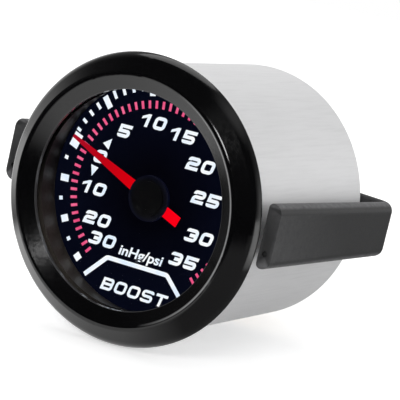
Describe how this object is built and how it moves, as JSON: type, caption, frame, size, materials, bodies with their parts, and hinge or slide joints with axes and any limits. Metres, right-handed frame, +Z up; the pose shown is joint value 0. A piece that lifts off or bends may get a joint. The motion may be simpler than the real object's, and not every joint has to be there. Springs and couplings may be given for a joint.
{
  "type": "boost gauge",
  "caption": "Round panel gauge for boost and vacuum with a deep funnel bezel, silver can, pointer movement, hose port and a rear clamp bracket.",
  "frame": {"origin": "on the dial's axis, in the plane of the bezel's rear face, which seats on the panel", "axes": "+X to the right of the dial, +Y from the front to the back along the barrel, +Z up"},
  "size_m": [0.0619, 0.0686, 0.056],
  "materials": {
    "bezel_black": "glossy black",
    "case_silver": "smooth pale silver",
    "lens_clear": "clear, faintly smoked",
    "seal_rubber": "matt black",
    "shroud_black": "glossy black",
    "dial_black": "near-black, printed scale",
    "guide_clear": "clear acrylic",
    "board_green": "lamp board",
    "lamp_white": "lamp",
    "sleeve_gray": "moulded",
    "pointer_red": "bright red",
    "hub_black": "satin black",
    "brass": "turned and stamped",
    "steel": "bright steel",
    "zinc_steel": "zinc plated",
    "bracket_black": "dark gray, fine texture"
  },
  "bodies": {
    "case": {"bezel_ring": "bezel_black", "lens_gasket": "seal_rubber", "lens": "lens_clear", "dial_shroud": "shroud_black", "dial_plate": "dial_black", "light_guide": "guide_clear", "led_board": "board_green", "leds": "lamp_white", "spacer_sleeve": "sleeve_gray", "can": "case_silver", "lead_grommet": "seal_rubber", "bourdon_tube": "brass", "hairspring": "brass", "hairspring_post": "brass", "movement_front_plate": "brass", "movement_back_plate": "brass", "movement_pillars": "brass", "movement_screws": "steel", "pressure_port": "brass", "port_washer": "zinc_steel", "port_nut": "brass", "mounting_studs": "zinc_steel", "stud_jam_nuts": "zinc_steel"},
    "pointer": {"pointer_blade": "pointer_red", "pointer_hub": "hub_black", "pinion_arbor": "steel"},
    "sector": {"sector_gear": "brass", "sector_arbor": "steel", "sector_pin": "steel"},
    "link": {"link_rod": "brass"},
    "tip": {"tube_tip": "brass", "tip_pin": "steel"},
    "bracket": {"u_bracket": "bracket_black", "bracket_washers": "zinc_steel"},
    "nut_left": {"thumb_nut_left": "zinc_steel"},
    "nut_right": {"thumb_nut_right": "zinc_steel"}
  },
  "joints": [
    {"name": "sector_turn", "type": "hinge", "parent": "case", "child": "sector", "pos_m": [0, 0.0201, -0.0135], "axis": [0, 1, 0], "range_deg": [-25.62, 8.75], "stiffness_Nm_per_rad": 0.002},
    {"name": "pointer_turn", "type": "hinge", "parent": "case", "child": "pointer", "pos_m": [0, 0.0057, 0], "axis": [0, 1, 0], "range_deg": [-70, 205], "deforming": ["hairspring"]},
    {"name": "link_swing", "type": "hinge", "parent": "sector", "child": "link", "pos_m": [0.0052, 0.0207, -0.0135], "axis": [0, 1, 0], "range_deg": [-10.93, 31.99]},
    {"name": "tube_flex", "type": "hinge", "parent": "case", "child": "tip", "pos_m": [-0.00361, 0.0201, 0.00539], "axis": [0, 1, 0], "range_deg": [-3.23, 1.11], "deforming": ["bourdon_tube"]},
    {"name": "bracket_slide", "type": "slide", "parent": "case", "child": "bracket", "axis": [0, 1, 0], "range_m": [-0.0008, 0.006]},
    {"name": "nut_left_turn", "type": "hinge", "parent": "bracket", "child": "nut_left", "pos_m": [-0.01398, 0.0545, 0.00078], "axis": [0, 1, 0], "range_deg": [-412, 3086]},
    {"name": "nut_right_turn", "type": "hinge", "parent": "bracket", "child": "nut_right", "pos_m": [0.01398, 0.0545, -0.00078], "axis": [0, 1, 0], "range_deg": [-412, 3086]}
  ],
  "couplings": [
    {"joint": "pointer_turn", "follows": "sector_turn", "ratio": -8},
    {"joint": "link_swing", "follows": "sector_turn", "ratio": -1.2477},
    {"joint": "tube_flex", "follows": "sector_turn", "ratio": 0.1256},
    {"joint": "nut_left_turn", "follows": "bracket_slide", "rad_per_m": 8976},
    {"joint": "nut_right_turn", "follows": "bracket_slide", "rad_per_m": 8976}
  ]
}
